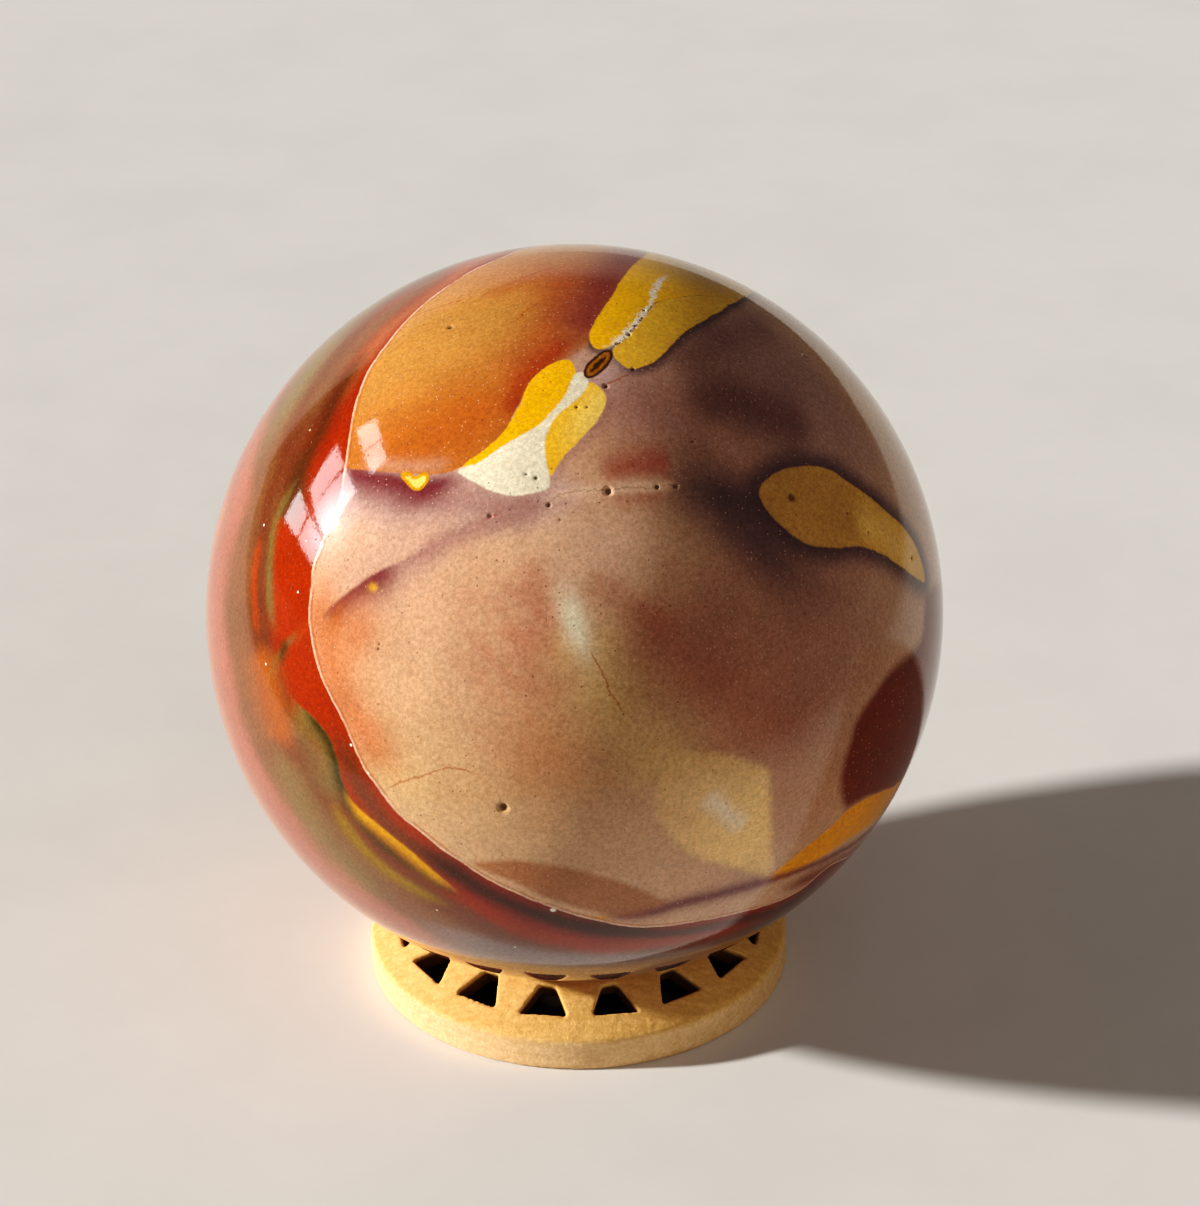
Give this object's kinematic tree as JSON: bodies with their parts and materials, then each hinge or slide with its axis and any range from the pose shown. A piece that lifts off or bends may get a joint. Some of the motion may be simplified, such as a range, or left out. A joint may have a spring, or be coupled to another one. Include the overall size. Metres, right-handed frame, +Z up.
{
  "type": "decorative stone sphere on ring stand",
  "caption": "Polished solid stone sphere resting loose on a low turned wooden ring stand with a sloping wall pierced by triangular cut-outs.",
  "frame": {"origin": "centre of the ring stand's flat underside", "axes": "+Z up along the axis of the ring and the sphere, -Y towards the side that the picture shows"},
  "size_m": [0.064, 0.064, 0.0673],
  "materials": {
    "stone": "high polish, zoned red, mustard, cream, mauve and tan jasper",
    "wood": "bare pale turned wood, lightly fuzzy"
  },
  "bodies": {
    "root": {"stone_sphere": "stone", "ring_stand": "wood"}
  },
  "joints": []
}
